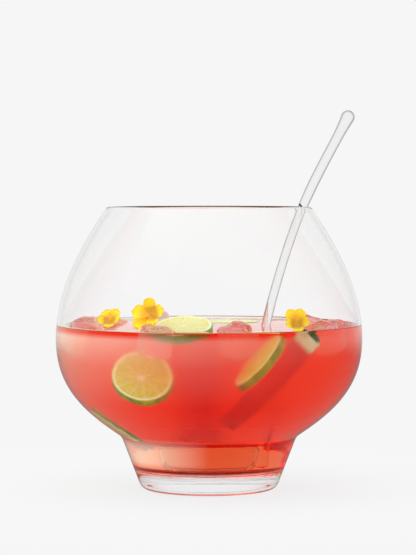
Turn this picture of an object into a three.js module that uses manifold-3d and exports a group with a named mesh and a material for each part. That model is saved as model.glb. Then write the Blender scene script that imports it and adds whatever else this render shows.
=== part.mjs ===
// A clear glass punch bowl on a heavy foot, with its glass ladle, filled with iced fruit punch.
// Millimetres, +Z up. The origin is the middle of the foot's underside, where the bowl stands.
import * as THREE from 'three';
import { mergeVertices } from 'three/addons/utils/BufferGeometryUtils.js';
import { RoundedBoxGeometry } from 'three/addons/geometries/RoundedBoxGeometry.js';
import Module from 'manifold-3d';

const wasm = await Module();
wasm.setup();

// ---------------------------------------------------------------- driving dimensions

const AROUND = 60; // flats around every turned glass shape
const GAP = 0.3; // clearance between a piece and what it lies in or against

const bowl = {
  height: 276,
  mouthRadius: 100,
  bellyRadius: 150,
  bellyHeight: 147,
  neckRadius: 86,
  neckHeight: 52,
  footRadius: 66,
  wall: 3,
  footWall: 5,
  baseThickness: 20,
  footEdge: 7, // rounding of the foot's lower edge
  wellCorner: 9, // rounding where the well's floor meets its side
};

const ladle = {
  cupRadius: 37,
  cupDepth: 29,
  cupWall: 2.8,
  cupFloorRadius: 13,
  rodRadius: 4.9,
  knobRadius: 6.8, // swollen end of the handle
  reachOut: 44, // from the rim out to the knob
  reachUp: 88, // from the rim up to the knob
};

const drink = { level: 160 }; // height of the surface above the table

const ice = { size: 28, edge: 4, above: 5 }; // above is what stands out of the drink
const lime = { radius: 28.5, thickness: 7.5 };
const melon = { length: 114, shortLength: 88, width: 23, tipWidth: 17, depth: 18, rindBulge: 4 };
const viola = { radius: 13, largeRadius: 17, petal: 2, spur: 6, spurRadius: 2.4 };

// ---------------------------------------------------------------- solids and helpers

const rad = THREE.MathUtils.degToRad;

// A closed geometry with its shared corners merged, as a solid that can be joined and cut.
function toSolid(geometry) {
  const bare = geometry.index ? geometry.toNonIndexed() : geometry.clone();
  bare.deleteAttribute('normal');
  bare.deleteAttribute('uv');
  const merged = mergeVertices(bare, 1e-4);
  return new wasm.Manifold(new wasm.Mesh({
    numProp: 3,
    vertProperties: new Float32Array(merged.attributes.position.array),
    triVerts: new Uint32Array(merged.index.array),
  }));
}

function toGeometry(solid) {
  const mesh = solid.getMesh();
  const geometry = new THREE.BufferGeometry();
  geometry.setAttribute('position', new THREE.BufferAttribute(mesh.vertProperties, 3));
  geometry.setIndex(new THREE.BufferAttribute(mesh.triVerts, 1));
  geometry.computeVertexNormals();
  return geometry;
}

// Turns an outline of (radius, height) points about the Z axis.
function turned(outline, segments = AROUND) {
  return new THREE.LatheGeometry(outline, segments).rotateX(Math.PI / 2);
}

// Moves each point of an outline sideways by a wall's thickness, to the left of its direction.
function offset(points, distance) {
  return points.map((point, i) => {
    const before = points[Math.max(i - 1, 0)];
    const after = points[Math.min(i + 1, points.length - 1)];
    const along = after.clone().sub(before).normalize();
    return new THREE.Vector2(point.x - along.y * distance, point.y + along.x * distance);
  });
}

// The radius of an outline at a height; heights rise along the outline.
function radiusAt(outline, height) {
  const i = outline.findIndex((point) => point.y >= height);
  if (i <= 0) return outline[i === 0 ? 0 : outline.length - 1].x;
  const a = outline[i - 1];
  const b = outline[i];
  return a.x + (b.x - a.x) * (height - a.y) / (b.y - a.y);
}

// ---------------------------------------------------------------- the bowl's outlines

const bellyRise = bowl.bellyHeight - bowl.neckHeight;
const shoulderRise = bowl.height - bowl.bellyHeight;
const neckFlare = bowl.bellyRadius - bowl.neckRadius;
const shoulderDraw = bowl.bellyRadius - bowl.mouthRadius;

// From the neck, round the belly and up the sloping shoulder to the mouth.
function bellyOutline(steps) {
  const path = new THREE.Path();
  path.moveTo(bowl.neckRadius, bowl.neckHeight);
  path.bezierCurveTo(
    bowl.neckRadius + 0.53 * neckFlare, bowl.neckHeight + 0.24 * bellyRise,
    bowl.bellyRadius, bowl.bellyHeight - 0.51 * bellyRise,
    bowl.bellyRadius, bowl.bellyHeight,
  );
  path.bezierCurveTo(
    bowl.bellyRadius, bowl.bellyHeight + 0.27 * shoulderRise,
    bowl.mouthRadius + 0.77 * shoulderDraw, bowl.height - 0.43 * shoulderRise,
    bowl.mouthRadius, bowl.height,
  );
  return path.getPoints(steps);
}

function footRadiusAt(height) {
  return bowl.footRadius + (bowl.neckRadius - bowl.footRadius) * height / bowl.neckHeight;
}

// The foot's outside, from the middle of its underside to just below the neck.
function footOutline() {
  const path = new THREE.Path();
  path.moveTo(0, 0);
  path.lineTo(bowl.footRadius - bowl.footEdge, 0);
  path.quadraticCurveTo(bowl.footRadius, 0, footRadiusAt(bowl.footEdge), bowl.footEdge);
  return path.getPoints(4);
}

// The hollow from the middle of the well's floor up to the mouth, drawn in by a clearance.
function hollowOutline(clearance, steps) {
  const floor = bowl.baseThickness + clearance;
  const inner = offset(bellyOutline(steps), bowl.wall + clearance);
  const sideAt = (height) => footRadiusAt(height) - bowl.footWall - clearance;
  const path = new THREE.Path();
  path.moveTo(0, floor);
  path.lineTo(sideAt(floor) - bowl.wellCorner, floor);
  const sideTop = floor + bowl.wellCorner;
  path.quadraticCurveTo(sideAt(floor), floor, sideAt(sideTop), sideTop);
  const well = path.getPoints(4);
  const neck = bowl.neckHeight - bowl.footWall / 2;
  well.push(new THREE.Vector2(sideAt(neck), neck));
  return well.concat(inner.filter((point) => point.y > neck + 1));
}

const BELLY_STEPS = 9; // outline points in each of the belly's two curves
const hollow = hollowOutline(0, BELLY_STEPS);

function makeBowl() {
  const outside = footOutline().concat(bellyOutline(BELLY_STEPS));
  const lip = new THREE.Vector2(bowl.mouthRadius - bowl.wall / 2, bowl.height + bowl.wall / 3);
  return turned([...outside, lip, ...hollow.slice().reverse()]);
}

// ---------------------------------------------------------------- the ladle

const cupFloor = bowl.baseThickness + GAP;

function cupOutline(inset) {
  const path = new THREE.Path();
  const radius = ladle.cupRadius - inset;
  path.moveTo(0, inset);
  path.lineTo(ladle.cupFloorRadius, inset);
  path.bezierCurveTo(
    ladle.cupFloorRadius + 0.7 * (radius - ladle.cupFloorRadius), inset,
    radius, inset + 0.3 * ladle.cupDepth,
    radius, ladle.cupDepth,
  );
  return path.getPoints(7);
}

// The handle's middle line: up from the cup's side, then leaning out over the rim.
function handlePath() {
  const rimHeight = bowl.height;
  const lean = Math.atan2(ladle.reachOut, ladle.reachUp);
  const rimFlat = radiusAt(hollow, rimHeight) * Math.cos(Math.PI / AROUND);
  const rimContact = rimFlat - ladle.rodRadius / Math.cos(lean) - GAP;
  const foot = new THREE.Vector3(ladle.cupRadius + 0.5, 0, cupFloor + 0.45 * ladle.cupDepth);
  const rim = new THREE.Vector3(rimContact, 0, rimHeight);
  const rise = rim.z - foot.z;
  const run = rim.x - foot.x;
  return new THREE.CatmullRomCurve3([
    foot,
    new THREE.Vector3(foot.x + 0.16 * run, 0, foot.z + 0.3 * rise),
    new THREE.Vector3(foot.x + 0.42 * run, 0, foot.z + 0.6 * rise),
    rim,
    new THREE.Vector3(rim.x + ladle.reachOut, 0, rim.z + ladle.reachUp),
  ]);
}

function makeLadle() {
  const section = new THREE.Shape().absarc(0, 0, ladle.rodRadius, 0, 2 * Math.PI);
  const path = handlePath();
  const rod = new THREE.ExtrudeGeometry(section, { steps: 28, curveSegments: 6, extrudePath: path });
  const knob = new THREE.SphereGeometry(ladle.knobRadius, 12, 8);
  knob.translate(...path.getPointAt(1).toArray());
  const depth = new THREE.Vector2(0, ladle.cupDepth);
  const outer = turned([...cupOutline(0), depth], 36).translate(0, 0, cupFloor);
  const above = new THREE.Vector2(ladle.cupRadius - ladle.cupWall, ladle.cupDepth + 1);
  const aboveMiddle = new THREE.Vector2(0, above.y);
  const inner = turned([...cupOutline(ladle.cupWall), above, aboveMiddle], 36).translate(0, 0, cupFloor);
  return toGeometry(toSolid(rod).add(toSolid(knob)).add(toSolid(outer)).subtract(toSolid(inner)));
}

// ---------------------------------------------------------------- fruit, ice and flowers

// Each shape takes a growth, so that the drink can be cut clear of it all round.
function iceShape(grow) {
  const size = ice.size + 2 * grow;
  return new RoundedBoxGeometry(size, size, size, 1, ice.edge);
}

function limeShape(grow) {
  const radius = lime.radius + grow;
  return new THREE.CylinderGeometry(radius, radius, lime.thickness + 2 * grow, 32).rotateX(Math.PI / 2);
}

// A stick of watermelon along X: narrow tip at -X, its rind bulging at +X.
function melonShape(grow, length = melon.length) {
  const half = length / 2 + grow;
  const tip = melon.tipWidth / 2 + grow;
  const end = melon.width / 2 + grow;
  const outline = new THREE.Shape();
  outline.moveTo(-half, -tip);
  outline.lineTo(half - melon.rindBulge, -end);
  outline.quadraticCurveTo(half + melon.rindBulge, 0, half - melon.rindBulge, end);
  outline.lineTo(-half, tip);
  outline.closePath();
  const depth = melon.depth + 2 * grow;
  const body = new THREE.ExtrudeGeometry(outline, { depth, bevelEnabled: false, curveSegments: 6 });
  return body.translate(0, 0, -depth / 2);
}

function shortMelonShape(grow) {
  return melonShape(grow, melon.shortLength);
}

// Five rounded petals facing +Z, with the short spur behind them.
function violaShape(size) {
  const outline = new THREE.Shape();
  const points = 40;
  for (let i = 0; i < points; i += 1) {
    const turn = 2 * Math.PI * i / points;
    const radius = size * (0.66 + 0.34 * Math.sqrt(Math.abs(Math.cos(2.5 * turn))));
    const step = i === 0 ? 'moveTo' : 'lineTo';
    outline[step](-radius * Math.sin(turn), radius * Math.cos(turn));
  }
  outline.closePath();
  const petals = new THREE.ExtrudeGeometry(outline, { depth: viola.petal, bevelEnabled: false });
  const spur = new THREE.CylinderGeometry(viola.spurRadius, 1, viola.spur + viola.petal, 10);
  spur.rotateX(Math.PI / 2).translate(0, 0, (viola.petal - viola.spur) / 2);
  return toGeometry(toSolid(petals).add(toSolid(spur)));
}

// How far a shape could still move outwards along a bearing before it meets the glass.
function roomToWall(geometry, matrix, outward) {
  const point = new THREE.Vector3();
  const corners = geometry.attributes.position;
  const flat = Math.cos(Math.PI / AROUND);
  const fits = (distance) => {
    for (let i = 0; i < corners.count; i += 1) {
      point.fromBufferAttribute(corners, i).applyMatrix4(matrix).addScaledVector(outward, distance);
      if (Math.hypot(point.x, point.y) > radiusAt(hollow, point.z) * flat - 2 * GAP) return false;
    }
    return true;
  };
  let near = 0;
  let far = bowl.bellyRadius;
  for (let i = 0; i < 20; i += 1) {
    const middle = (near + far) / 2;
    if (fits(middle)) near = middle;
    else far = middle;
  }
  return near;
}

// Stands a piece at a bearing and height, facing a direction, a stated way in from the glass.
function seated({ shape, bearing, height, facing, roll = 0, inset = 0 }) {
  const outward = new THREE.Vector3(Math.cos(rad(bearing)), Math.sin(rad(bearing)), 0);
  const front = new THREE.Vector3(...facing).normalize();
  const turn = new THREE.Quaternion().setFromUnitVectors(new THREE.Vector3(0, 0, 1), front);
  turn.multiply(new THREE.Quaternion().setFromAxisAngle(new THREE.Vector3(0, 0, 1), rad(roll)));
  const one = new THREE.Vector3(1, 1, 1);
  const atAxis = new THREE.Matrix4().compose(new THREE.Vector3(0, 0, height), turn, one);
  const distance = roomToWall(shape(0), atAxis, outward) - inset;
  const place = outward.multiplyScalar(distance).setZ(height);
  return new THREE.Matrix4().compose(place, turn, one);
}

const iceHeight = drink.level + ice.above - ice.size / 2;

// Bearings are turned from +X towards +Y; the front of the bowl is at -90.
const midDepth = drink.level - 42;

// The front stick leans up to the right; a slice of lime lies along its upper side.
const melonFront = seated({
  shape: melonShape, bearing: -60, height: midDepth, facing: [0, -1, 0], roll: 46,
});
const melonSide = (melon.width + melon.tipWidth) / 4;
const onMelon = new THREE.Matrix4().makeTranslation(4, melonSide + lime.thickness / 2 + 12 * GAP, 0);
onMelon.multiply(new THREE.Matrix4().makeRotationX(rad(-76)));

// A slice that floats level has its upper face just clear of the drink.
const flatAfloat = drink.level + 2 * GAP - lime.thickness / 2;

const fruit = [
  { name: 'melon_stick_front', shape: melonShape, matrix: melonFront },
  {
    name: 'melon_stick_back',
    shape: shortMelonShape,
    matrix: seated({
      shape: shortMelonShape, bearing: 92, height: midDepth, facing: [0.1, -0.12, 1], roll: 92,
    }),
  },
  {
    name: 'lime_slice_front',
    shape: limeShape,
    matrix: seated({ shape: limeShape, bearing: -122, height: midDepth, facing: [-0.11, -0.78, 0.62] }),
  },
  { name: 'lime_slice_on_melon', shape: limeShape, matrix: melonFront.clone().multiply(onMelon) },
  {
    name: 'lime_slice_low_left',
    shape: limeShape,
    matrix: seated({
      shape: limeShape, bearing: -162, height: drink.level - 84, facing: [0.55, -0.25, 0.82],
    }),
  },
  {
    name: 'lime_slice_floating',
    shape: limeShape,
    matrix: seated({
      shape: limeShape, bearing: -108, height: drink.level + 1, facing: [-0.05, -0.3, 1], inset: 38,
    }),
  },
  {
    name: 'lime_slice_floating_back',
    shape: limeShape,
    matrix: seated({
      shape: limeShape, bearing: 73, height: flatAfloat, facing: [0, 0, 1], inset: 42,
    }),
  },
];

// A loose piece drifts round from its bearing, a step at a time, until it is clear of the others.
function drifted(options, others) {
  let { bearing } = options;
  const clear = () => {
    const solid = toSolid(options.shape(GAP).applyMatrix4(seated({ ...options, bearing })));
    return others.every((other) => solid.intersect(toSolid(other)).isEmpty());
  };
  while (!clear()) bearing += options.drift;
  return seated({ ...options, bearing });
}

const iceCubes = [];
[
  { bearing: -162, inset: 6, facing: [0.3, -0.2, 1], roll: 20 },
  { bearing: -74, inset: 38, facing: [-0.2, -0.3, 1], roll: 35 },
  { bearing: -30, inset: 6, facing: [-0.25, 0.2, 1], roll: 60 },
  { bearing: -9, inset: 2, facing: [0.2, 0.3, 1], roll: 10 },
  { bearing: -112, inset: 2, facing: [0.15, 0.2, 1], roll: 65 },
  { bearing: 175, inset: 5, facing: [-0.2, 0.25, 1], roll: 50 },
  { bearing: 32, inset: 8, facing: [0.3, -0.25, 1], roll: 75 },
  { bearing: 148, inset: 10, facing: [0.25, 0.2, 1], roll: 30 },
  { bearing: 120, inset: 22, facing: [-0.3, 0.15, 1], roll: 5 },
].forEach((cube, i) => {
  const others = [...fruit, ...iceCubes].map(({ shape, matrix }) => shape(0).applyMatrix4(matrix));
  const options = { ...cube, shape: iceShape, height: iceHeight + (i % 3), drift: 3 };
  iceCubes.push({ name: `ice_cube_${i + 1}`, shape: iceShape, matrix: drifted(options, others) });
});

// A flower lies on the drink, its lowest petal edge a gap above the surface.
function floatingViola({ radius, bearing, inset, facing, roll }) {
  const shape = () => violaShape(radius);
  const matrix = seated({ shape, bearing, height: drink.level + radius, facing, roll, inset });
  const placed = violaShape(radius).applyMatrix4(matrix);
  const lowest = new THREE.Box3().setFromBufferAttribute(placed.attributes.position).min.z;
  return new THREE.Matrix4().makeTranslation(0, 0, drink.level + GAP - lowest).multiply(matrix);
}

const violas = [
  { name: 'viola_left', radius: viola.radius, bearing: -141, inset: 14, facing: [-0.2, -0.8, 0.5], roll: 15 },
  {
    name: 'viola_middle', radius: viola.largeRadius, bearing: -127, inset: 34,
    facing: [-0.1, -0.8, 0.5], roll: 215,
  },
  { name: 'viola_right', radius: viola.radius, bearing: -53, inset: 1, facing: [0.1, -0.95, 0.2], roll: 5 },
];

// ---------------------------------------------------------------- the drink

// Fills the hollow up to its level, with room cut for every piece that lies in it.
function makePunch(immersed) {
  const inside = hollowOutline(GAP, BELLY_STEPS);
  const below = inside.filter((point) => point.y < drink.level);
  const edge = new THREE.Vector2(radiusAt(inside, drink.level), drink.level);
  const middle = new THREE.Vector2(0, drink.level);
  let body = toSolid(turned([...below, edge, middle]));
  for (const { shape, matrix } of immersed) {
    body = body.subtract(toSolid(shape(GAP).applyMatrix4(matrix)));
  }
  const rod = new THREE.Shape().absarc(0, 0, ladle.rodRadius + GAP, 0, 2 * Math.PI);
  const path = handlePath();
  const cut = new THREE.ExtrudeGeometry(rod, { steps: 28, curveSegments: 6, extrudePath: path });
  const cup = [
    ...offset(cupOutline(0), -GAP),
    new THREE.Vector2(ladle.cupRadius + GAP, ladle.cupDepth + GAP),
    new THREE.Vector2(ladle.cupRadius - ladle.cupWall - GAP, ladle.cupDepth + GAP),
    ...offset(cupOutline(ladle.cupWall), GAP).reverse(),
  ];
  cup[0].x = 0;
  cup[cup.length - 1].x = 0;
  const cupCut = toSolid(turned(cup, 36).translate(0, 0, cupFloor));
  const insideCup = toSolid(turned([
    ...offset(cupOutline(ladle.cupWall), GAP),
    new THREE.Vector2(0, ladle.cupDepth),
  ], 36).translate(0, 0, cupFloor));
  return toGeometry(body.subtract(toSolid(cut).subtract(insideCup)).subtract(cupCut));
}

// ---------------------------------------------------------------- materials and assembly

const colours = {
  bowlGlass: { color: 0xeef2f2, roughness: 0.03, metalness: 0, transparent: true, opacity: 0.3 },
  ladleGlass: { color: 0xe6ecec, roughness: 0.03, metalness: 0, transparent: true, opacity: 0.4 },
  punch: { color: 0xe4532f, roughness: 0.05, metalness: 0, transparent: true, opacity: 0.7 },
  ice: { color: 0xf3e2da, roughness: 0.15, metalness: 0, transparent: true, opacity: 0.7 },
  lime: { color: 0xa9b93a, roughness: 0.35, metalness: 0 },
  melon: { color: 0xc9261a, roughness: 0.4, metalness: 0 },
  viola: { color: 0xf4d313, roughness: 0.6, metalness: 0 },
};

const group = new THREE.Group();

function addPiece(name, geometry, look, matrix) {
  const mesh = new THREE.Mesh(geometry, new THREE.MeshStandardMaterial(colours[look]));
  mesh.name = name;
  if (matrix) mesh.applyMatrix4(matrix);
  group.add(mesh);
}

addPiece('punch_bowl', makeBowl(), 'bowlGlass');
addPiece('ladle', makeLadle(), 'ladleGlass');
addPiece('punch', makePunch([...iceCubes, ...fruit]), 'punch');
for (const cube of iceCubes) addPiece(cube.name, cube.shape(0), 'ice', cube.matrix);
for (const piece of fruit) {
  addPiece(piece.name, piece.shape(0), piece.name.startsWith('lime') ? 'lime' : 'melon', piece.matrix);
}
for (const flower of violas) {
  addPiece(flower.name, violaShape(flower.radius), 'viola', floatingViola(flower));
}

export default group;
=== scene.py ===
"""A glass punch bowl with its ladle, filled with iced fruit punch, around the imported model."""

import math
from functools import partial

import bmesh
import bpy
import numpy as np
from bpy.props import FloatProperty, FloatVectorProperty, IntProperty, PointerProperty
from mathutils import Color, Matrix, Vector, noise


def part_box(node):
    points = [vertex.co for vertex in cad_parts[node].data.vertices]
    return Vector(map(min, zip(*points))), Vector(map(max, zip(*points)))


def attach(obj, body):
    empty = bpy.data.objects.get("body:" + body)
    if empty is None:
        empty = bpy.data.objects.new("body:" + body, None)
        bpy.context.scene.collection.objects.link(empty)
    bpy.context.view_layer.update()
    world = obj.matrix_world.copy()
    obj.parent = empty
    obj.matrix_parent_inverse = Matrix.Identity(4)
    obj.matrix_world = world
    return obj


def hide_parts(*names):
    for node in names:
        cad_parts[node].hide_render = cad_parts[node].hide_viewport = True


bl_info = {
    "name": "Filled Punch Bowl",
    "version": (1, 0, 0),
    "blender": (4, 5, 0),
    "location": "3D View > Sidebar > Punch Bowl",
    "description": "Dresses a glass punch bowl, its ladle, the drink, ice, fruit and flowers",
    "category": "Object",
}

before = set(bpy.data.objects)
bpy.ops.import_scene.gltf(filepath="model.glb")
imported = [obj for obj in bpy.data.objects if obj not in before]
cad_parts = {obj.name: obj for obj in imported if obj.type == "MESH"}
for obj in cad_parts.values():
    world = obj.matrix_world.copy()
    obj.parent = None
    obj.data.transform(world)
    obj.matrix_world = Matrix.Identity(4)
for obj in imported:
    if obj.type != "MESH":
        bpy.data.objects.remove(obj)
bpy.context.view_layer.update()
BOWL_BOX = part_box("punch_bowl")
LADLE_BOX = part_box("ladle")
DRINK_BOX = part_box("punch")
MM = 0.001
AROUND_BOWL = 288  # steps round the bowl and the drink in it


def linear(code):
    """An sRGB hex colour as linear red, green and blue."""
    parts = [int(code[i:i + 2], 16) / 255 for i in (0, 2, 4)]
    return tuple(c / 12.92 if c <= 0.04045 else ((c + 0.055) / 1.055) ** 2.4 for c in parts)


def length(name, description, default):
    """A size in metres that the user can change."""
    return FloatProperty(
        name=name, description=description, default=default, min=0.0, unit="LENGTH")


def colour(name, description, code):
    """A colour that the user can change."""
    return FloatVectorProperty(
        name=name, description=description, default=linear(code), min=0.0, max=1.0, subtype="COLOR")


def amount(name, description, default):
    """A plain number that the user can change."""
    return FloatProperty(name=name, description=description, default=default, min=0.0)


def angle(name, description, degrees):
    """A turn that the user can change."""
    return FloatProperty(
        name=name, description=description, default=math.radians(degrees), subtype="ANGLE")


# ---- sizes and colours


class BowlSettings(bpy.types.PropertyGroup):
    """The glass bowl."""

    height: length("Height", "Height of the outer edge of the mouth", 276 * MM)
    mouth_radius: length("Mouth radius", "Outside radius at the mouth", 100 * MM)
    belly_radius: length("Belly radius", "Outside radius at the widest", BOWL_BOX[1].x)
    belly_height: length("Belly height", "Height of the widest part", 147 * MM)
    neck_radius: length("Neck radius", "Outside radius where the foot meets the belly", 86 * MM)
    neck_height: length("Neck height", "Height where the foot meets the belly", 52 * MM)
    foot_radius: length("Foot radius", "Outside radius of the foot at the table", 66 * MM)
    foot_edge: length("Foot edge", "Rounding of the foot's lower edge", 7 * MM)
    wall: length("Wall", "Thickness of the belly's wall", 3 * MM)
    foot_wall: length("Foot wall", "Thickness of the foot's wall", 5 * MM)
    base: length("Base", "Thickness of the solid glass under the well", 20 * MM)
    neck_fillet: length("Neck fillet", "Length over which the neck's corner is rounded", 4 * MM)
    well_corner: length("Well corner", "Rounding where the well's floor meets its side", 9 * MM)
    tint: colour("Face tint", "Colour of light through the wall seen face on", "FFFFFF")
    # Edge tint: painted shade, the grey the glass takes on towards its edges.
    painted_edge_shade: colour("Edge tint", "Colour of light through the wall seen edge on", "B4AFAB")
    base_tint: colour("Base tint", "Colour of light through the thick glass of the base", "F6F6F7")
    # Ground rim: a painted grey glow for the light the ground rim scatters.
    painted_rim_glow: colour("Ground rim", "Grey light scattered by the ground rim", "8C837B")
    # Crease tint: a painted band of the drink's colour where the glass bends it round the well's
    # corner.
    painted_crease_colour: colour("Crease tint", "Colour of light bent round the well's corner", "B8606A")


class LadleSettings(bpy.types.PropertyGroup):
    """The glass ladle."""

    cup_radius: length("Cup radius", "Outside radius of the cup", LADLE_BOX[1].y)
    cup_depth: length("Cup depth", "Outside height of the cup", 29 * MM)
    cup_wall: length("Cup wall", "Thickness of the cup", 2.8 * MM)
    cup_floor: length("Cup floor", "Radius of the cup's flat floor", 13 * MM)
    rod_radius: length("Rod radius", "Radius of the handle below the rim", 4.5 * MM)
    grip_radius: length("Grip radius", "Radius of the handle above the rim", 5.1 * MM)
    knob_radius: length("Knob radius", "Radius of the swollen end", 6.8 * MM)
    reach_out: length("Reach out", "From the rim out to the end", 44 * MM)
    reach_up: length("Reach up", "From the rim up to the end", 88 * MM)
    tint: colour("Face tint", "Colour of light through the rod seen face on", "F8F8F8")
    # Edge tint: painted shade, the grey the rod takes on towards its edges.
    painted_edge_shade: colour("Edge tint", "Colour of light through the rod seen edge on", "8A8886")


class DrinkSettings(bpy.types.PropertyGroup):
    """The punch and its ice."""

    level: length("Level", "Height of the surface above the table", DRINK_BOX[1].z)
    meniscus: length("Meniscus", "How far the drink climbs the glass", 1.8 * MM)
    soak: colour("Absorption", "Colour that deep punch turns to", "FDA420")
    strength: amount("Absorption strength", "Absorption per metre of punch", 24.0)
    # Pulp, sediment and depth are painted glows (emission) for the light the cloudy punch scatters
    # back.
    pulp: colour("Pulp", "Light from floating pulp, less the red already there", "98FFE4")
    sediment_glow: colour("Sediment", "Light from settled pulp, less the red already there", "90FFEA")
    depth: colour("Depth", "Red light spread through the deep punch", "280200")
    ice_white: colour("Ice", "Colour of the clouded ice", "F6E9E2")


class FruitSettings(bpy.types.PropertyGroup):
    """The lime slices and the sticks of watermelon."""

    lime_radius: length("Lime radius", "Radius of a slice", 28.5 * MM)
    lime_thickness: length("Lime thickness", "Thickness of a slice", 7.5 * MM)
    segments: IntProperty(name="Segments", description="Segments in a lime", default=10, min=3)
    pulp: colour("Pulp", "Colour of the juice sacs", "E4DA5E")
    pulp_deep: colour("Deep pulp", "Colour between the juice sacs", "CFC440")
    pulp_pale: colour("Pale pulp", "Colour of the thin pulp of a floating slice", "E6EBC4")
    pith: colour("Pith", "Colour of the pith and the membranes", "F1EDCB")
    peel: colour("Peel", "Colour of the lime's peel", "8DBB3A")
    peel_dark: colour("Dark peel", "Darker patches of the peel", "5E8E1E")
    peel_sunk: colour("Sunk peel", "Colour of the peel under the punch", "C8BE00")
    peel_sunk_dark: colour("Dark sunk peel", "Darker patches of the peel under the punch", "867C00")
    melon_flesh: colour("Melon flesh", "Colour of the watermelon's flesh", "EE2410")
    melon_pale: colour("Melon pith", "Colour of the white rind", "F0DDB4")
    # Lime lit from within: a painted glow (emission) of the flesh's own colour.
    glow: amount("Lime lit from within", "Light that the wet flesh passes on from behind", 0.5)
    # Melon lit from within: a painted glow (emission) of the flesh's own colour.
    melon_painted_glow: amount("Melon lit from within", "Light that the melon passes on from behind", 0.34)
    melon_skin: colour("Melon skin", "Colour of the watermelon's skin", "2F5A18")


class FlowerSettings(bpy.types.PropertyGroup):
    """The three violas."""

    petal: colour("Petal", "Colour of the petals", "FBDD12")
    petal_deep: colour("Deep petal", "Colour near the throat", "F2AE00")
    whisker: colour("Whiskers", "Colour of the fine lines by the throat", "4A2410")
    green: colour("Calyx", "Colour of the calyx and stem", "7F9A3A")
    roll_left: angle("Roll, left", "Turn of the left flower", 4)
    roll_middle: angle("Roll, middle", "Turn of the middle flower", 104)
    roll_right: angle("Roll, right", "Turn of the right flower", 6)


class StageSettings(bpy.types.PropertyGroup):
    """The floor, the light and the camera."""

    pale: colour("Backdrop", "Colour of the floor and the backdrop", "F6F6F6")
    zenith: amount("Overhead light", "Brightness of the light from above", 2.2)
    mirrored: amount("Mirrored floor", "Brightness of the floor as the glass mirrors it", 0.3)
    eye_side: length("Camera side", "How far left of the bowl's middle the camera stands", 1 * MM)
    eye_distance: length("Camera distance", "From the bowl's axis to the camera", 2330 * MM)
    eye_height: length("Camera height", "Height of the camera above the table", 299 * MM)
    aim_height: length("Aim height", "Height on the bowl's axis that is looked at", 207.2 * MM)
    focal: amount("Focal length", "Focal length of the lens in millimetres", 154.4)


# ---- outlines and meshes


def bezier(a, b, c, d, steps):
    """Points on a cubic curve from a to d."""
    points = []
    for i in range(steps + 1):
        t = i / steps
        s = 1 - t
        points.append(a * s**3 + b * (3 * s * s * t) + c * (3 * s * t * t) + d * t**3)
    return points


def bend(a, corner, c, steps=8):
    """Points on a curve from a to c that rounds a corner."""
    return bezier(a, (a + corner * 2) / 3, (c + corner * 2) / 3, c, steps)


def trimmed(points, reach):
    """A line of points cut back from its end by a length."""
    points = list(points)
    while len(points) > 2 and (points[-1] - points[-2]).length < reach:
        reach -= (points[-1] - points[-2]).length
        points.pop()
    step = (points[-1] - points[-2]).normalized()
    points[-1] = points[-1] - step * reach
    return points


def joined(lower, upper, reach):
    """Two lines of points that meet at a corner, with the corner rounded."""
    start = trimmed(lower, reach)
    end = trimmed(upper[::-1], reach)[::-1]
    return start[:-1] + bend(start[-1], upper[0], end[0]) + end[1:]


def moved_in(points, distance):
    """An outline moved towards the axis, square to itself; heights rise along it."""
    result = []
    for i, point in enumerate(points):
        along = (points[min(i + 1, len(points) - 1)] - points[max(i - 1, 0)]).normalized()
        result.append(point + Vector((-along.y, along.x)) * distance)
    return result


def belly_outline(size, steps=56):
    """The outside from the neck, round the belly and up the shoulder to the mouth."""
    flare, rise = size.belly_radius - size.neck_radius, size.belly_height - size.neck_height
    draw, shoulder = size.belly_radius - size.mouth_radius, size.height - size.belly_height
    widest = Vector((size.belly_radius, size.belly_height))
    lower = bezier(
        Vector((size.neck_radius, size.neck_height)),
        Vector((size.neck_radius + 0.53 * flare, size.neck_height + 0.24 * rise)),
        Vector((size.belly_radius, size.belly_height - 0.51 * rise)), widest, steps)
    upper = bezier(
        widest, Vector((size.belly_radius, size.belly_height + 0.27 * shoulder)),
        Vector((size.mouth_radius + 0.77 * draw, size.height - 0.43 * shoulder)),
        Vector((size.mouth_radius, size.height)), steps)
    return lower + upper[1:]


def foot_radius_at(size, height):
    """The outside radius of the foot at a height."""
    return size.foot_radius + (size.neck_radius - size.foot_radius) * height / size.neck_height


def hollow_outline(size, into_glass=0.0):
    """The hollow from the middle of the well's floor up to the mouth."""
    floor = size.base - into_glass

    def side(height):
        return Vector((foot_radius_at(size, height) - size.foot_wall + into_glass, height))

    corner = side(floor)
    well = [Vector((0, floor)), corner - Vector((size.well_corner, 0))]
    well += bend(well[-1], corner, side(floor + size.well_corner))[1:]
    wall = moved_in(belly_outline(size), size.wall - into_glass)
    neck = side(size.neck_height - size.foot_wall / 2)
    return joined([*well, neck], [neck, *[p for p in wall if p.y > neck.y + MM]], size.neck_fillet)


def bowl_outline(size):
    """The whole wall: up the outside, over the rounded lip and down the inside."""
    foot = [Vector((0, 0)), Vector((size.foot_radius - size.foot_edge, 0))]
    side = Vector((foot_radius_at(size, size.foot_edge), size.foot_edge))
    foot += bend(foot[-1], Vector((size.foot_radius, 0)), side)[1:]
    belly = belly_outline(size)
    outside = joined([*foot, belly[0]], belly, size.neck_fillet)
    inside = hollow_outline(size)
    middle, across = (outside[-1] + inside[-1]) / 2, (outside[-1] - inside[-1]) / 2
    over = Vector((-across.y, across.x))
    lip = [middle + across * math.cos(a) + over * math.sin(a)
           for a in [math.pi * i / 12 for i in range(1, 12)]]
    return outside + lip + inside[::-1]


def bridge(mesh, rings, around):
    """Adds the faces between rings of corners, where a ring may be a single point on the axis."""
    for lower, upper in zip(rings, rings[1:]):
        for i in range(around):
            j = (i + 1) % around
            corners = ((lower, i), (lower, j), (upper, j), (upper, i))
            mesh.faces.new(list(dict.fromkeys(ring[k % len(ring)] for ring, k in corners)))


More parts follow.
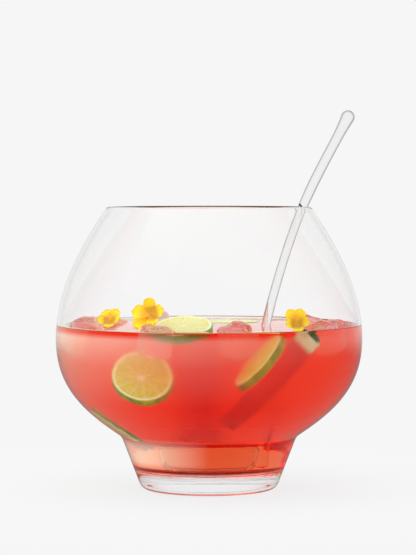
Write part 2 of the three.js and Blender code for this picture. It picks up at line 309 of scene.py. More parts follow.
def turned(outline, around):
    """A closed mesh turned about Z from (radius, height) points that begin and end on the axis."""
    mesh = bmesh.new()
    rings = []
    for radius, height in outline:
        count = around if radius > 1e-6 else 1
        turns = [2 * math.pi * i / around for i in range(count)]
        rings.append([
            mesh.verts.new((radius * math.cos(a), radius * math.sin(a), height)) for a in turns])
    bridge(mesh, rings, around)
    return mesh


def tube(points, radii, around):
    """A closed round bar along points in the XZ plane, with a radius at each."""
    mesh = bmesh.new()
    rings = []
    for i, (point, radius) in enumerate(zip(points, radii)):
        along = (points[min(i + 1, len(points) - 1)] - points[max(i - 1, 0)]).normalized()
        side = Vector((0, 1, 0))
        across = side.cross(along)
        turns = [2 * math.pi * k / around for k in range(around)]
        rings.append([
            mesh.verts.new(point + (across * math.cos(a) + side * math.sin(a)) * radius)
            for a in turns])
    bridge(mesh, rings, around)
    mesh.faces.new(rings[0][::-1])
    mesh.faces.new(rings[-1])
    bmesh.ops.recalc_face_normals(mesh, faces=mesh.faces)
    return mesh


def as_object(name, mesh, materials=()):
    """An object in the scene made from a mesh, which is used up."""
    data = bpy.data.meshes.new(name)
    mesh.to_mesh(data)
    mesh.free()
    for material in materials:
        data.materials.append(material)
    made = bpy.data.objects.new(name, data)
    bpy.context.scene.collection.objects.link(made)
    return made


def piece(name, mesh, materials, body, node, place=None):
    """Makes a smooth-shaded piece, rides it on its body and lets it stand for its CAD node."""
    made = as_object(name, mesh, materials)
    made.data.shade_smooth()
    if place:
        made.matrix_world = place
    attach(made, body)
    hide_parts(node)
    return made


def fused(*meshes):
    """The meshes joined into one solid."""
    made = [as_object("part", mesh) for mesh in meshes]
    for other in made[1:]:
        join = made[0].modifiers.new("join", "BOOLEAN")
        join.operation, join.solver, join.object = "UNION", "EXACT", other
    mesh = settled(made)
    # Where a seam runs along an edge it leaves slivers that have no width.
    bmesh.ops.dissolve_degenerate(mesh, dist=0.002 * MM, edges=mesh.edges)
    return mesh


def settled(objects):
    """The first object's mesh with its modifiers worked in; the objects are then removed."""
    bpy.context.view_layer.update()
    shape = objects[0].evaluated_get(bpy.context.evaluated_depsgraph_get())
    mesh = bmesh.new()
    mesh.from_mesh(shape.to_mesh())
    shape.to_mesh_clear()
    for each in objects:
        bpy.data.objects.remove(each)
    return mesh


def softened(mesh, voxel, rounds):
    """A solid rebuilt as an even skin with its edges melted round."""
    rough = as_object("part", mesh)
    even = rough.modifiers.new("even", "REMESH")
    even.mode, even.voxel_size = "VOXEL", voxel
    melt = rough.modifiers.new("melt", "SMOOTH")
    melt.factor, melt.iterations = 0.5, rounds
    return settled([rough])


def packed_mesh(node):
    """A CAD node's mesh, as a new one that can be worked on."""
    mesh = bmesh.new()
    mesh.from_mesh(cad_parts[node].data)
    return mesh


def nodes_named(start):
    """The CAD nodes whose names begin with some letters, in order."""
    return sorted(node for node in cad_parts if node.startswith(start))


def node_frame(node):
    """A CAD node's middle, its three main directions, shortest first, and its corners about it."""
    corners = np.array([v.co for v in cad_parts[node].data.vertices])
    middle = Vector(corners.mean(axis=0))
    spread, directions = np.linalg.eigh(np.cov(corners.T))
    directions = [Vector(directions[:, i]) for i in np.argsort(spread)]
    return middle, directions, corners - np.array(middle)


def standing(middle, normal, up):
    """A placing matrix with local Z along the normal and local Y as near to up as it can be."""
    normal = normal.normalized()
    side = up.cross(normal).normalized()
    turn = Matrix((side, normal.cross(side), normal)).transposed()
    return Matrix.Translation(middle) @ turn.to_4x4()


# ---- materials


def add_node(tree, kind, links=None, stops=None, **settings):
    """Adds a shader node with its settings, its ramp's stops, and its inputs, each one a value, a
    socket or a node, whose first output in use is linked."""
    node = tree.nodes.new("ShaderNode" + kind)
    for name, value in settings.items():
        setattr(node, name, value)
    if stops:
        ramp = node.color_ramp.elements
        while len(ramp) < len(stops):
            ramp.new(1.0)
        for element, (position, shade) in zip(ramp, stops):
            element.position = position
            element.color = (*((shade,) * 3 if isinstance(shade, float) else shade), 1.0)
    for key, value in (links or {}).items():
        if isinstance(value, bpy.types.Node):
            value = next(socket for socket in value.outputs if socket.enabled)
        if isinstance(value, bpy.types.NodeSocket):
            tree.links.new(value, node.inputs[key])
        else:
            node.inputs[key].default_value = (*value, 1.0) if isinstance(value, Color) else value
    return node


def emptied(owner):
    """A material or a world without nodes, and what adds nodes to it."""
    owner.use_nodes = True
    owner.node_tree.nodes.clear()
    return owner, partial(add_node, owner.node_tree)


def finished(owner, shader, output="OutputMaterial", **volume):
    """The material or world, its shader and any volume linked to its output."""
    add_node(owner.node_tree, output, {"Surface": shader, **volume})
    return owner


def painted_edge_grey(add, face, edge, clear_to, full_at):
    """The colour of light through glass: clear face on, and greyer towards the edges, which is
    painted shade standing in for the dark surroundings that the edges bend and mirror."""
    lean = add("LayerWeight", {"Blend": 0.5}).outputs["Facing"]
    greyer = tuple(0.94 * c for c in face)
    return add("ValToRGB", {"Fac": lean}, stops=[
        (0.0, face), (clear_to, face), (full_at - 0.22, greyer), (full_at, edge)])


def glass_skin(add, place, tint, ior, waviness, wave_length):
    """The clear, smooth skin of glass worked while soft, with its slow waviness."""
    waves = add("TexNoise", {"Vector": place, "Scale": 1 / wave_length, "Detail": 1.0})
    wavy = add("Bump", {"Height": waves, "Strength": 1.0, "Distance": waviness})
    return add("BsdfPrincipled", {
        "Base Color": tint, "Roughness": 0.0, "IOR": ior, "Transmission Weight": 1.0,
        "Specular Tint": (0.12, 0.12, 0.12, 1.0), "Normal": wavy})


def blown_glass(size, rim_height):
    """Mouth-blown soda-lime glass: clear with painted grey shade towards the edges and waves 60 mm
    long, a faint cast where the base is thick, a painted band of the drink's colour bent round the
    well's corner, and a painted grey glow at the ground rim for the light its fine scratches
    scatter."""
    material, add = emptied(bpy.data.materials.new("mouth_blown_soda_lime_glass"))
    # Painted grey shade towards the glass's edges.
    edges = painted_edge_grey(add, size.tint, size.painted_edge_shade, clear_to=0.3, full_at=0.95)
    place = add("TexCoord").outputs["Object"]
    height = add("SeparateXYZ", {"Vector": place}).outputs["Z"]
    clear = (1.0, 1.0, 1.0)
    share = add("Math", {0: height, 1: 1.5 * size.base}, operation="DIVIDE")
    # A faint cast where the base is thick, then a painted band of the drink's colour at the well's
    # corner.
    low = add("ValToRGB", {"Fac": share}, stops=[
        (0.0, size.base_tint), (0.6, size.base_tint), (0.71, clear), (0.76, size.painted_crease_colour),
        (0.80, size.painted_crease_colour), (0.88, clear)])
    tint = add("Mix", {0: 1.0, 6: edges, 7: low}, data_type="RGBA", blend_type="MULTIPLY")
    shader = glass_skin(add, place, tint, ior=1.5, waviness=0.05 * MM, wave_length=60 * MM)
    # The ground rim glows: painted grey light (emission) for what its fine scratches scatter.
    ground = add("MapRange", {
        "Value": height, "From Min": rim_height - 1.5 * MM, "From Max": rim_height - 0.5 * MM,
        "To Max": 0.5})
    shader.inputs["Emission Color"].default_value = (*size.painted_rim_glow, 1.0)
    material.node_tree.links.new(ground.outputs["Result"], shader.inputs["Emission Strength"])
    return finished(material, shader)


def drawn_glass(size, name, clear_to, full_at, ior):
    """Soda-lime glass drawn to a rod: clear, with painted grey shade towards the edges, and waves
    25 mm long.
    """
    material, add = emptied(bpy.data.materials.new(name))
    tint = painted_edge_grey(add, size.tint, size.painted_edge_shade, clear_to, full_at)
    place = add("TexCoord").outputs["Object"]
    shader = glass_skin(add, place, tint, ior, waviness=0.03 * MM, wave_length=25 * MM)
    return finished(material, shader)


def punch_liquid(drink):
    """Cloudy red fruit punch: clear and bright on top, and through its side what lies deep in it
    is soft and red, because the juice scatters a little and absorbs green and blue; the light it
    scatters back is painted as a glow, more towards -X, with a painted red glow in the deep punch."""
    material, add = emptied(bpy.data.materials.new("cloudy_fruit_punch"))
    place = add("TexCoord").outputs["Object"]
    height = add("SeparateXYZ", {"Vector": place}).outputs
    # Glassy on top, soft through the belly, clearer in the narrow foot.
    share = add("Math", {0: height["Z"], 1: drink.level}, operation="DIVIDE")
    cloud = add("ValToRGB", {"Fac": share}, stops=[
        (0.30, 0.07), (0.45, 0.28), (0.990, 0.28), (0.996, 0.03)])
    ripple = add("TexNoise", {"Vector": place, "Scale": 1 / (25 * MM), "Detail": 2.0})
    rippled = add("Bump", {"Height": ripple, "Strength": 1.0, "Distance": 0.5 * MM})
    # Painted glow (emission) for the light that fine pulp scatters back: in drifts 70 mm across
    # under the ice, more towards -X, and in a band in the foot, more towards -X.
    drifts = add("TexNoise", {"Vector": place, "Scale": 14.0, "Detail": 2.0})
    patchy = add("Math", {0: drifts, 1: 0.5}, operation="ADD")
    top = add("ValToRGB", {"Fac": share}, stops=[
        (0.56, 0.0), (0.80, 0.33), (0.96, 1.0), (0.99, 0.0)])
    away = add("MapRange", {"Value": height["X"], "From Min": 130 * MM, "From Max": -140 * MM})
    lean = add("Math", {0: away, 1: 0.33}, operation="MULTIPLY")
    floats = add("Math", {0: top, 1: lean}, operation="MULTIPLY")
    below_top = add("MapRange", {
        "Value": share, "From Min": 0.99, "From Max": 0.95, "To Max": 0.11})
    side_on = add("Math", {0: away, 1: 6.0}, operation="POWER")
    painted_glow_far_left = add("Math", {0: side_on, 1: below_top}, operation="MULTIPLY")
    pulp = add("Math", {0: floats, 1: patchy, 2: painted_glow_far_left}, operation="MULTIPLY_ADD")
    # A painted glow in a band in the foot, more towards -X.
    bed = add("ValToRGB", {"Fac": share}, stops=[
        (0.15, 0.0), (0.20, 1.0), (0.28, 1.0), (0.36, 0.0)])
    painted_glow_left = add("MapRange", {
        "Value": height["X"], "From Min": 0.0, "From Max": -60 * MM, "To Max": 0.42})
    sunk = add("Math", {0: bed, 1: painted_glow_left}, operation="MULTIPLY")
    high = add("MapRange", {"Value": height["Z"], "From Min": 44 * MM, "From Max": 58 * MM})
    # A painted red glow through the punch above the foot.
    red = add("VectorMath", {0: tuple(drink.depth), "Scale": high}, operation="SCALE")
    pale = add("VectorMath", {0: tuple(drink.pulp), 1: pulp, 2: red}, operation="MULTIPLY_ADD")
    glow = add("VectorMath", {0: tuple(drink.sediment_glow), 1: sunk, 2: pale}, operation="MULTIPLY_ADD")
    shader = add("BsdfPrincipled", {
        "Base Color": (1.0, 1.0, 1.0, 1.0), "Roughness": cloud, "IOR": 1.34,
        "Transmission Weight": 1.0, "Specular Tint": (0.0, 0.0, 0.0, 1.0), "Normal": rippled,
        "Emission Color": glow, "Emission Strength": 1.0})
    soak = add("VolumeAbsorption", {"Color": drink.soak, "Density": drink.strength})
    return finished(material, shader, Volume=soak)


def melting_ice(drink, name, ior, roughness, least_clear, glow):
    """Melting freezer ice: a glassy wet skin over a core clouded white by trapped air."""
    material, add = emptied(bpy.data.materials.new(name))
    place = add("TexCoord").outputs["Object"]
    # Clouds of trapped air 14 mm across, and dents 6 mm across in the skin.
    cloud = add("TexNoise", {"Vector": place, "Scale": 70.0, "Detail": 3.0})
    clear = add("MapRange", {
        "Value": cloud, "From Min": 0.35, "From Max": 0.65, "To Min": least_clear, "To Max": 1.0})
    dents = add("TexNoise", {"Vector": place, "Scale": 1 / (6.25 * MM), "Detail": 2.0})
    dented = add("Bump", {"Height": dents, "Strength": 1.0, "Distance": 1.2 * MM})
    # The emission is a painted glow of the ice's own colour.
    shader = add("BsdfPrincipled", {
        "Base Color": drink.ice_white, "Roughness": roughness, "IOR": ior,
        "Transmission Weight": clear, "Normal": dented, "Emission Color": drink.ice_white,
        "Emission Strength": glow})
    return finished(material, shader)


def lime_flesh(fruit, name, sacs_pale, sacs_deep, rim, ior, glow):
    """Wet cut lime: pale pith and thin membranes round segments packed with glassy juice sacs."""
    material, add = emptied(bpy.data.materials.new(name))
    place = add("TexCoord").outputs["Object"]
    flat = add("VectorMath", {0: place, 1: (1.0, 1.0, 0.0)}, operation="MULTIPLY")
    radius = add("VectorMath", {0: flat}, operation="LENGTH")
    part = add("SeparateXYZ", {"Vector": flat}).outputs
    turn = add("Math", {0: part["Y"], 1: part["X"]}, operation="ARCTAN2")
    count = fruit.segments
    wedge = add("Math", {
        0: turn, 1: count / (2 * math.pi), 2: float(count)}, operation="MULTIPLY_ADD")
    fold = add("Math", {0: wedge, 1: 0.5}, operation="PINGPONG")
    arc = add("Math", {0: fold, 1: radius}, operation="MULTIPLY")
    skin = add("MapRange", {
        "Value": arc, "From Min": 0.2 * MM * count / (2 * math.pi),
        "From Max": 0.9 * MM * count / (2 * math.pi), "To Min": 0.45})
    # Juice sacs about 2.5 mm across by the peel and 5.5 mm long, pointing out from the core.
    sacs = add("CombineXYZ", {"X": wedge, "Y": radius})
    stretched = add("VectorMath", {0: sacs, 1: (5.0, 180.0, 1.0)}, operation="MULTIPLY")
    cells = add("TexVoronoi", {"Vector": stretched, "Scale": 1.0, "Randomness": 0.9})
    juice = add("ValToRGB", {"Fac": cells}, stops=[(0.0, sacs_pale), (0.75, sacs_deep)])
    flesh = add("Mix", {0: skin, 6: fruit.pith, 7: juice}, data_type="RGBA")
    share = add("Math", {0: radius, 1: fruit.lime_radius}, operation="DIVIDE")
    rind = add("ValToRGB", {"Fac": share}, stops=[
        (0.0, 1.0), (0.07, 0.9), (0.13, 0.0), (0.86, 0.0), (0.9, 1.0)])
    pale = add("Mix", {0: rind, 6: flesh, 7: fruit.pith}, data_type="RGBA")
    edge = add("MapRange", {"Value": share, "From Min": 0.94, "From Max": 0.975})
    whole = add("Mix", {0: edge, 6: pale, 7: rim}, data_type="RGBA")
    swell = add("Math", {0: cells, 1: skin}, operation="SUBTRACT")
    bumpy = add("Bump", {"Height": swell, "Strength": 0.6, "Distance": -0.5 * MM})
    # The emission is a painted glow of the flesh's own colour.
    shader = add("BsdfPrincipled", {
        "Base Color": whole, "Roughness": 0.28, "IOR": ior, "Normal": bumpy,
        "Emission Color": whole, "Emission Strength": glow})
    return finished(material, shader)


def lime_peel(name, pale, dark, ior, glow):
    """Waxy lime peel: green with darker patches and fine oil pores."""
    material, add = emptied(bpy.data.materials.new(name))
    place = add("TexCoord").outputs["Object"]
    # Patches 11 mm across.
    patches = add("TexNoise", {"Vector": place, "Scale": 90.0, "Detail": 3.0})
    green = add("ValToRGB", {"Fac": patches}, stops=[(0.35, dark), (0.65, pale)])
    # Oil pores 0.8 mm apart.
    pores = add("TexVoronoi", {"Vector": place, "Scale": 1 / (0.8 * MM)})
    pitted = add("Bump", {"Height": pores, "Strength": 0.5, "Distance": 0.15 * MM})
    # The emission is a painted glow of the peel's own colour.
    shader = add("BsdfPrincipled", {
        "Base Color": green, "Roughness": 0.3, "IOR": ior, "Normal": pitted,
        "Emission Color": green, "Emission Strength": glow})
    return finished(material, shader)


def melon_flesh(fruit, half_length):
    """Wet cut watermelon: grainy red flesh, then a white rind and a thin dark skin."""
    material, add = emptied(bpy.data.materials.new("wet_cut_watermelon"))
    place = add("TexCoord").outputs["Object"]
    along = add("SeparateXYZ", {"Vector": place}).outputs
    wander = add("TexNoise", {"Vector": place, "Scale": 60.0, "Detail": 3.0})
    drift = add("Math", {0: wander, 1: 3 * MM, 2: along["X"]}, operation="MULTIPLY_ADD")
    share = add("MapRange", {"Value": drift, "From Min": -half_length, "From Max": half_length})
    band = add("ValToRGB", {"Fac": share}, stops=[
        (0.0, fruit.melon_flesh), (0.85, fruit.melon_flesh), (0.90, fruit.melon_pale),
        (0.975, fruit.melon_pale), (0.99, fruit.melon_skin)])
    # The flesh's grains are about 1.5 mm across.
    grains = add("TexVoronoi", {"Vector": place, "Scale": 1 / (1.5 * MM)})
    grain = add("MapRange", {"Value": grains, "From Max": 0.8, "To Min": 1.1, "To Max": 0.8})
    grained = add("VectorMath", {0: band, "Scale": grain}, operation="SCALE")
    bumpy = add("Bump", {"Height": grains, "Strength": 0.5, "Distance": -0.4 * MM})
    # The emission is a painted glow of the melon's own colour.
    shader = add("BsdfPrincipled", {
        "Base Color": grained, "Roughness": 0.35, "IOR": 1.05, "Normal": bumpy,
        "Emission Color": grained, "Emission Strength": fruit.melon_painted_glow})
    return finished(material, shader)


def viola_petal(flower, name, whiskered):
    """A velvety viola petal: yellow, deeper at the throat, with fine veins and dark whiskers."""
    material, add = emptied(bpy.data.materials.new(name))
    map_ = add("UVMap", uv_map="petal")
    part = add("SeparateXYZ", {"Vector": map_}).outputs
    base = add("ValToRGB", {"Fac": part["Y"]}, stops=[
        (0.0, flower.petal_deep), (0.35, flower.petal_deep), (0.75, flower.petal)])
    # Real whiskers are hair-thin; five broad ones to a petal are what shows from a distance.
    fan = add("Math", {0: part["X"], 1: 2.5, 2: 3.5}, operation="MULTIPLY_ADD")
    stripe = add("Math", {0: fan, 1: 0.5}, operation="PINGPONG")
    line = add("MapRange", {
        "Value": stripe, "From Min": 0.2, "From Max": 0.1, "To Max": 1.0 if whiskered else 0.1})
    reach = add("MapRange", {"Value": part["Y"], "From Min": 0.56, "From Max": 0.44})
    inner = add("Math", {0: line, 1: reach}, operation="MULTIPLY")
    shade = add("Mix", {0: inner, 6: base, 7: flower.whisker}, data_type="RGBA")
    veins = add("Bump", {"Height": stripe, "Strength": 0.5, "Distance": 0.2 * MM})
    # Emission 0.38 is a painted glow of the petal's own colour.
    shader = add("BsdfPrincipled", {
        "Base Color": shade, "Roughness": 0.6, "Sheen Weight": 0.3, "Sheen Roughness": 0.4,
        "Normal": veins, "Emission Color": shade, "Emission Strength": 0.38})
    return finished(material, shader)


def viola_green(flower):
    """The soft green of a calyx and stem, mottled with darker patches."""
    material, add = emptied(bpy.data.materials.new("soft_green_calyx"))
    place = add("TexCoord").outputs["Object"]
    mottle = add("TexNoise", {"Vector": place, "Scale": 1 / (2.5 * MM)})
    dark = tuple(0.6 * c for c in flower.green)
    shade = add("ValToRGB", {"Fac": mottle}, stops=[(0.3, dark), (0.7, flower.green)])
    shader = add("BsdfPrincipled", {"Base Color": shade, "Roughness": 0.5})
    return finished(material, shader)


# ---- pieces


class MakeBowl(bpy.types.Operator):
    """Turns the clear glass bowl"""

    bl_idname = "punch_bowl.make_bowl"
    bl_label = "Glass bowl"

    def execute(self, context):
        size = context.scene.bowl_settings
        glass = blown_glass(size, BOWL_BOX[1].z)
        mesh = turned(bowl_outline(size), AROUND_BOWL)
        piece("clear_punch_bowl", mesh, [glass], "bowl", "punch_bowl")
        return {"FINISHED"}


def curve_through(knots, steps):
    """Points on a smooth curve through the knots, its speed set by the root of their spacing."""
    ends = [knots[0] * 2 - knots[1], *knots, knots[-1] * 2 - knots[-2]]
    points = []
    for a, b, c, d in zip(ends, ends[1:], ends[2:], ends[3:]):
        before, across, after = ((q - p).length ** 0.5 for p, q in ((a, b), (b, c), (c, d)))
        start = ((b - a) / before - (c - a) / (before + across) + (c - b) / across) * across
        end = ((c - b) / across - (d - b) / (across + after) + (d - c) / after) * across
        points += bezier(b, b + start / 3, c - end / 3, c, steps)[:-1]
    return [*points, knots[-1]]


def rounded_end(tip, inside, radius):
    """Middles and radii of the rings that close a bar's end with a half ball."""
    along = (tip - inside).normalized()
    turns = [math.pi / 2 * k / 10 for k in range(1, 10)]
    return [(tip + along * radius * math.sin(a), radius * math.cos(a)) for a in turns]


def ladle_bar(size, bowl):
    """The handle: fused to the cup's side, slim to the rim, thicker above, with a swollen end."""
    foot = Vector((size.cup_radius + 2.2 * MM, 0, LADLE_BOX[0].z + 0.45 * size.cup_depth))
    rim = Vector((LADLE_BOX[1].x - size.knob_radius - size.reach_out, 0, bowl.height))
    rise, run = rim.z - foot.z, rim.x - foot.x + 1.7 * MM
    points = curve_through([
        foot,
        foot + Vector((0.16 * run - 1.7 * MM, 0, 0.3 * rise)),
        foot + Vector((0.42 * run - 1.7 * MM, 0, 0.6 * rise)),
        rim,
        rim + Vector((size.reach_out, 0, size.reach_up)),
    ], 28)
    radii = []
    for point in points:
        above = (point.z - bowl.height) / size.reach_up
        grip = min(max(above * 4 + 0.3, 0), 1)
        swell = min(max((above - 0.72) / 0.28, 0), 1) ** 2
        flare = max(1 - (point.z - foot.z) / (14 * MM), 0) ** 2
        slim = size.rod_radius + (size.grip_radius - size.rod_radius) * grip
        radii.append(slim + (size.knob_radius - size.grip_radius) * swell + 0.8 * MM * flare)
    low = rounded_end(points[0], points[1], radii[0])
    high = rounded_end(points[-1], points[-2], radii[-1])
    points, radii = zip(*reversed(low), *zip(points, radii), *high)
    return tube(points, radii, around=40)


def ladle_cup(size):
    """The cup with its rounded lip."""
    floor = LADLE_BOX[0].z

    def shell(inset):
        radius = size.cup_radius - inset
        low = Vector((size.cup_floor, floor + inset))
        reach = Vector((size.cup_floor + 0.7 * (radius - size.cup_floor), floor + inset))
        steep = Vector((radius, floor + inset + 0.3 * size.cup_depth))
        return bezier(low, reach, steep, Vector((radius, floor + size.cup_depth)), 24)

    outer, inner = shell(0), shell(size.cup_wall)
    half = size.cup_wall / 2
    middle = Vector((size.cup_radius - half, floor + size.cup_depth - half))
    outer, inner = ([p for p in side if p.y < middle.y] for side in (outer, inner))
    lip = [middle + Vector((math.cos(a), math.sin(a))) * half
           for a in [math.pi * i / 10 for i in range(11)]]
    under, inside = Vector((0, floor)), Vector((0, floor + size.cup_wall))
    return turned([under, *outer, *lip, *inner[::-1], inside], around=144)


class MakeLadle(bpy.types.Operator):
    """Makes the glass ladle, its handle fused to its cup"""

    bl_idname = "punch_bowl.make_ladle"
    bl_label = "Glass ladle"

    def execute(self, context):
        scene = context.scene
        size, level = scene.ladle_settings, scene.drink_settings.level
        dry = drawn_glass(size, "drawn_soda_lime_glass", clear_to=0.02, full_at=0.45, ior=1.5)
        # Glass lying in punch bends light far less than it does in air, and it gets less painted
        # edge shade.
        wet = drawn_glass(
            size, "drawn_soda_lime_glass_in_punch", clear_to=0.35, full_at=0.95, ior=1.16)
        mesh = fused(ladle_cup(size), ladle_bar(size, scene.bowl_settings))
        if not mesh.faces:
            raise RuntimeError("the ladle's cup and handle did not join")
        made = piece("clear_ladle", mesh, [dry, wet], "ladle", "ladle")
        for face in made.data.polygons:
            face.material_index = int(face.center.z < level)
        return {"FINISHED"}


class MakePunch(bpy.types.Operator):
    """Fills the bowl with punch up to its level, with a meniscus where it climbs the glass"""

    bl_idname = "punch_bowl.make_punch"
    bl_label = "Punch"

    def execute(self, context):
        drink = context.scene.drink_settings
        into_glass = 0.35 * MM
        wall = hollow_outline(context.scene.bowl_settings, into_glass)
        climb = next(i for i, p in enumerate(wall) if p.y > drink.level + drink.meniscus)
        top = wall[climb]
        shore = Vector((top.x - 3 * drink.meniscus, drink.level))
        surface = bend(top, Vector((top.x - 0.4 * drink.meniscus, drink.level)), shore)
        rings = [Vector((shore.x * (1 - i / 12), drink.level)) for i in range(1, 13)]
        mesh = turned([*wall[:climb], *surface, *rings], AROUND_BOWL)
        piece("fruit_punch", mesh, [punch_liquid(drink)], "filling", "punch")
        return {"FINISHED"}


class MakeIce(bpy.types.Operator):
    """Melts the ice cubes round and dents them"""

    bl_idname = "punch_bowl.make_ice"
    bl_label = "Ice"

    def execute(self, context):
        drink = context.scene.drink_settings
        # The tops are glassy in air; in the drink the edges are soft and only the cloud shows, with
        # a faint painted glow (emission) of the ice's colour.
        skins = [
            melting_ice(
                drink, "melting_glassy_ice", ior=1.31, roughness=0.08, least_clear=0.75, glow=0.0),
            melting_ice(
                drink, "melting_clouded_ice_in_punch", ior=1.03, roughness=0.4, least_clear=0.93,
                glow=0.06)]
        for node in nodes_named("ice_cube"):
            mesh = softened(packed_mesh(node), voxel=1.3 * MM, rounds=14)
            low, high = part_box(node)
            middle = (low + high) / 2
            for vert in mesh.verts:
                outward = (vert.co - middle).normalized()
                dent = noise.noise(vert.co / (9 * MM)) - 0.25
                vert.co += outward * dent * 1.6 * MM
            for face in mesh.faces:
                face.material_index = int(face.calc_center_median().z < drink.level)
            piece(f"melting_{node}", mesh, skins, "filling", node)
        return {"FINISHED"}


class MakeLimes(bpy.types.Operator):
    """Cuts the slices of lime"""

    bl_idname = "punch_bowl.make_limes"
    bl_label = "Lime slices"

    def execute(self, context):
        fruit = context.scene.fruit_settings
        # Fruit that lies in punch bends light much as punch does, so it has almost no gloss. Every
        # slice carries a painted glow (emission), the flesh in punch the most.
        sunk = [lime_flesh(fruit, "wet_cut_lime_flesh_in_punch", fruit.pulp, fruit.pulp_deep,
                           fruit.peel_sunk, ior=1.04, glow=fruit.glow),
                lime_peel("waxy_lime_peel_in_punch", fruit.peel_sunk, fruit.peel_sunk_dark,
                          ior=1.04, glow=0.2)]
        afloat = [lime_flesh(fruit, "wet_cut_lime_flesh", fruit.pulp_pale, fruit.pulp,
                             fruit.peel, ior=1.4, glow=0.05),
                  lime_peel("waxy_lime_peel", fruit.peel, fruit.peel_dark, ior=1.45, glow=0.25)]
        radius, half, edge = fruit.lime_radius, fruit.lime_thickness / 2, 1.2 * MM
        flat = [Vector((radius * k / 16, half)) for k in range(16)]
        top_edge, side_edge = Vector((radius - edge, half)), Vector((radius, half - edge))
        side = flat + bend(top_edge, Vector((radius, half)), side_edge, 5)
        outline = [Vector((p.x, -p.y)) for p in side] + side[::-1]
        for node in nodes_named("lime_slice"):
            middle, (normal, _, _), _ = node_frame(node)
            if normal.z < 0:
                normal = -normal
            mesh = turned(outline, around=96)
            for vert in mesh.verts:
                sag = noise.noise(vert.co / (22 * MM) + middle * 50)
                vert.co.z += sag * 0.8 * MM
                vert.co *= 1 - 0.02 * abs(noise.noise(vert.co / (30 * MM) + middle * 90))
            mesh.normal_update()
            for face in mesh.faces:
                face.material_index = int(abs(face.normal.z) < 0.6)
            place = standing(middle, normal, Vector((0.2, 0.3, 1)))
            skins = afloat if "floating" in node else sunk
            piece(f"cut_{node}", mesh, skins, "filling", node, place)
        return {"FINISHED"}


class MakeMelon(bpy.types.Operator):
    """Cuts the sticks of watermelon"""

    bl_idname = "punch_bowl.make_melon"
    bl_label = "Watermelon sticks"

    def execute(self, context):
        fruit = context.scene.fruit_settings
        for node in nodes_named("melon_stick"):
            middle, (_, _, along), corners = node_frame(node)
            if along.z < 0:
                along = -along
            reach = corners @ np.array(along)
            middle += along * float(reach.max() + reach.min()) / 2
            half_length = float(reach.max() - reach.min()) / 2
            quarter_turn = Matrix.Rotation(math.radians(-90), 4, "Y")
            place = standing(middle, along, Vector((0, 1, 0))) @ quarter_turn
            mesh = packed_mesh(node)
            mesh.transform(place.inverted())
            mesh = softened(mesh, voxel=1.1 * MM, rounds=7)
            for vert in mesh.verts:
                x, y, z = vert.co
                pit = noise.noise(Vector((x / (12 * MM), y / (5 * MM), z / (5 * MM))))
                vert.co += vert.normal * (pit - 0.3) * 0.7 * MM
            flesh = melon_flesh(fruit, half_length)
            piece(f"cut_{node}", mesh, [flesh], "filling", node, place)
        return {"FINISHED"}


def petal(mesh, uv, heading, long, wide, lift, cup, layer, material):
    """Adds one petal: narrow at the throat, broad and ruffled at its tip, as a thin closed skin."""
    along = Vector((-math.sin(heading), math.cos(heading), 0))
    across = Vector((along.y, -along.x, 0))
    rows, columns, thick = 14, 12, 0.35 * MM
    sides = []
    for side in (0, 1):
        grid = []
        for i in range(rows + 1):
            s = i / rows
            width = wide * s**0.6 * math.sqrt(max(1 - s**3.4, 0)) + 0.6 * MM
            row = []
            for j in range(columns + 1):
                t = 2 * j / columns - 1
                ruffle = 0.5 * MM * s * s * math.sin(7 * t + 3 * heading + 2 * s)
                height = lift * long * s * s + cup * wide * s * t * t + ruffle + layer
                bow = long * (s - 0.10 * t * t * s)
                out = Vector((0, 0, height - side * thick))
                point = along * bow + across * (t * width / 2) + out
                row.append((mesh.verts.new(point), (t, s)))
            grid.append(row)
        sides.append(grid)

    def face(corners, flip):
        made = mesh.faces.new([v for v, _ in (corners[::-1] if flip else corners)])
        made.material_index = material
        for loop in made.loops:
            loop[uv].uv = next(c for v, c in corners if v == loop.vert)

    top, under = sides
    for grid, flip in ((top, True), (under, False)):
        for i in range(rows):
            for j in range(columns):
                face([grid[i][j], grid[i + 1][j], grid[i + 1][j + 1], grid[i][j + 1]], not flip)
    border = [
        *((i, 0) for i in range(rows)), *((rows, j) for j in range(columns)),
        *((i, columns) for i in range(rows, 0, -1)), *((0, j) for j in range(columns, 0, -1))]
    for (i, j), (k, m) in zip(border, border[1:] + border[:1]):
        face([top[i][j], top[k][m], under[k][m], under[i][j]], False)


# Each petal's turn in degrees, its length and width against the flower's radius, its lift and its
# cupping, its height in the flower and its skin. The throat sits low, under two broad upper petals;
# the side petals and the lip lean forward.
PETALS = (
    (24, 1.22, 1.25, -0.16, 0.10, 0.0, 0),
    (-27, 1.18, 1.2, -0.08, 0.10, 0.7 * MM, 0),
    (88, 0.88, 0.95, 0.30, 0.14, 1.3 * MM, 1),
    (-91, 0.88, 0.95, 0.34, 0.14, 1.6 * MM, 1),
    (181, 0.72, 1.1, 0.30, 0.08, 2.2 * MM, 1),
)


